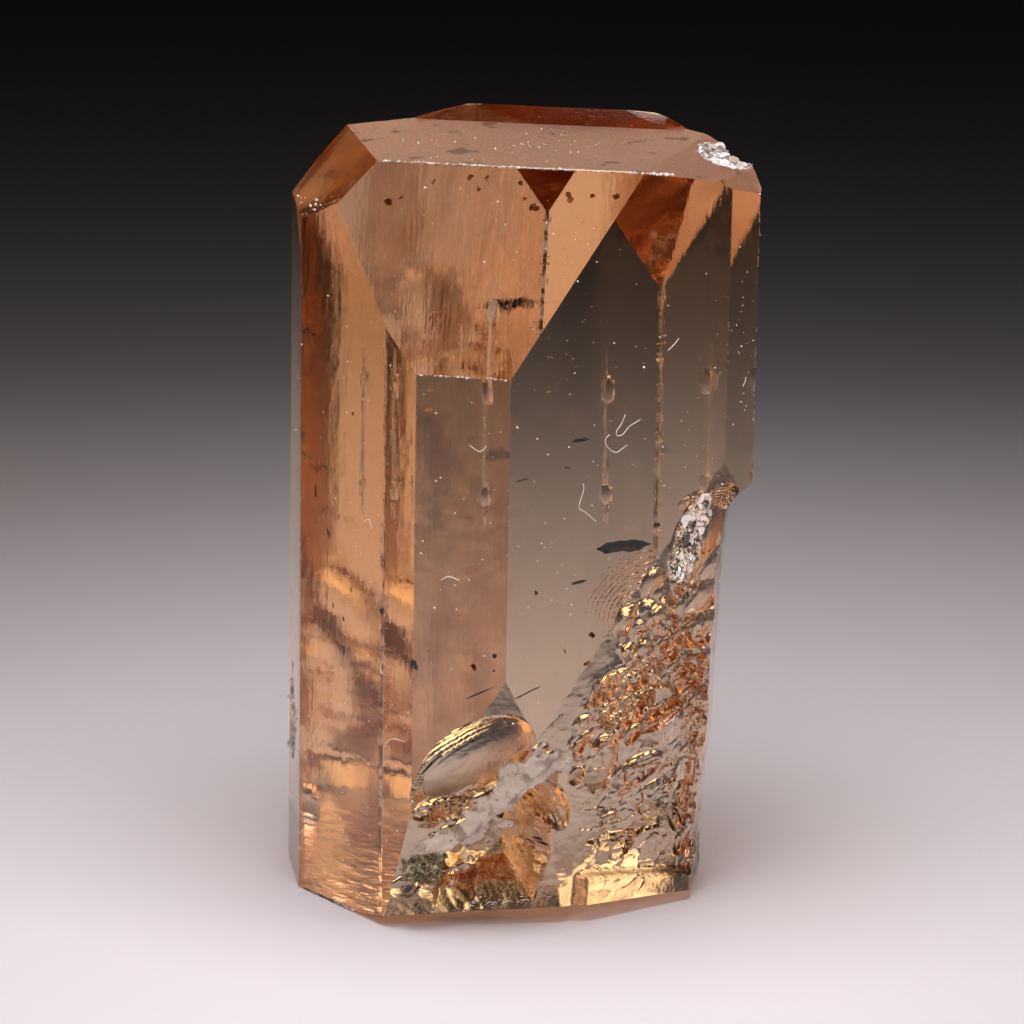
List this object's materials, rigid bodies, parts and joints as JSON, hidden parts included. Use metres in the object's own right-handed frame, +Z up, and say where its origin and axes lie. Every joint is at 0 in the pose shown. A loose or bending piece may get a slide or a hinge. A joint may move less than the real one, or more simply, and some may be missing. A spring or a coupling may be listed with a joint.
{
  "type": "topaz crystal",
  "caption": "Clear brown-orange topaz crystal, a prism with a flat top and slanting domes, broken at the lower front corner, standing on its flat base.",
  "frame": {"origin": "middle of the footprint's box, on the flat base", "axes": "+Z up along the crystal's length, the large front dome and the break face -Y, +X to the right"},
  "size_m": [0.0126, 0.0122, 0.0204],
  "materials": {
    "topaz": "clear, brown-orange, glassy faces, frosted top",
    "clay": "dull white-grey clay crust",
    "mica": "green-grey tuft of fine mica flakes"
  },
  "bodies": {
    "root": {"crystal": "topaz", "clay_seam": "clay", "mica_patch": "mica"}
  },
  "joints": []
}
